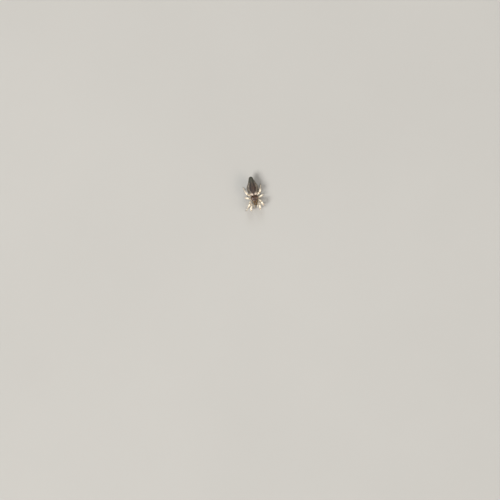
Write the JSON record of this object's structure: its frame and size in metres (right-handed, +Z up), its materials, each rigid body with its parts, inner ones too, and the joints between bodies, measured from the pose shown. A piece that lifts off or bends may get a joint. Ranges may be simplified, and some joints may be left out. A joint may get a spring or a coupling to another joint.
{
  "type": "orb weaver spider",
  "caption": "Life-size still model of a conical orb weaver spider, adult female, with its legs drawn in tight and a blunt tail on its abdomen.",
  "frame": {"origin": "middle of the spider's outline, on the floor under it", "axes": "+Z up; the head points along -Y and the tail along +Y; the spider's left side is +X"},
  "size_m": [0.005, 0.0084, 0.0031],
  "materials": {
    "abdomen": "soft matt skin mottled grey-brown and silver, with short fine hairs",
    "carapace": "satin dark brown shell, paler towards the head",
    "legs": "satin cream shell with dark brown rings, fine hairs and spines",
    "mouthparts": "satin brown shell",
    "sternum": "satin black-brown shell with pale spots",
    "spinnerets": "matt brown skin",
    "fangs": "polished dark red-brown",
    "membrane": "soft pale skin between the lengths of each leg",
    "spines": "satin brown spines and claws",
    "hairs": "fine soft hairs, pale with brown among them",
    "eyes": "clear gloss over near-black"
  },
  "bodies": {
    "root": {"abdomen": "abdomen", "carapace": "carapace", "chelicera_left": "mouthparts", "chelicera_right": "mouthparts", "endite_left": "mouthparts", "endite_right": "mouthparts", "epigyne": "mouthparts", "eye_front_median_left": "eyes", "eye_front_median_right": "eyes", "eye_rear_median_left": "eyes", "eye_rear_median_right": "eyes", "eye_front_lateral_left": "eyes", "eye_front_lateral_right": "eyes", "eye_rear_lateral_left": "eyes", "eye_rear_lateral_right": "eyes", "fang_left": "fangs", "fang_right": "fangs", "labium": "mouthparts", "leg1_left_thigh": "legs", "leg1_left_shin": "legs", "leg1_left_foot": "legs", "leg1_right_thigh": "legs", "leg1_right_shin": "legs", "leg1_right_foot": "legs", "leg2_left_thigh": "legs", "leg2_left_shin": "legs", "leg2_left_foot": "legs", "leg2_right_thigh": "legs", "leg2_right_shin": "legs", "leg2_right_foot": "legs", "leg3_left_thigh": "legs", "leg3_left_shin": "legs", "leg3_left_foot": "legs", "leg3_right_thigh": "legs", "leg3_right_shin": "legs", "leg3_right_foot": "legs", "leg4_left_thigh": "legs", "leg4_left_shin": "legs", "leg4_left_foot": "legs", "leg4_right_thigh": "legs", "leg4_right_shin": "legs", "leg4_right_foot": "legs", "palp_base_left": "legs", "palp_tip_left": "legs", "palp_base_right": "legs", "palp_tip_right": "legs", "pedicel": "mouthparts", "spinneret_front_left": "spinnerets", "spinneret_front_right": "spinnerets", "spinneret_rear_left": "spinnerets", "spinneret_rear_right": "spinnerets", "sternum": "sternum"}
  },
  "joints": []
}
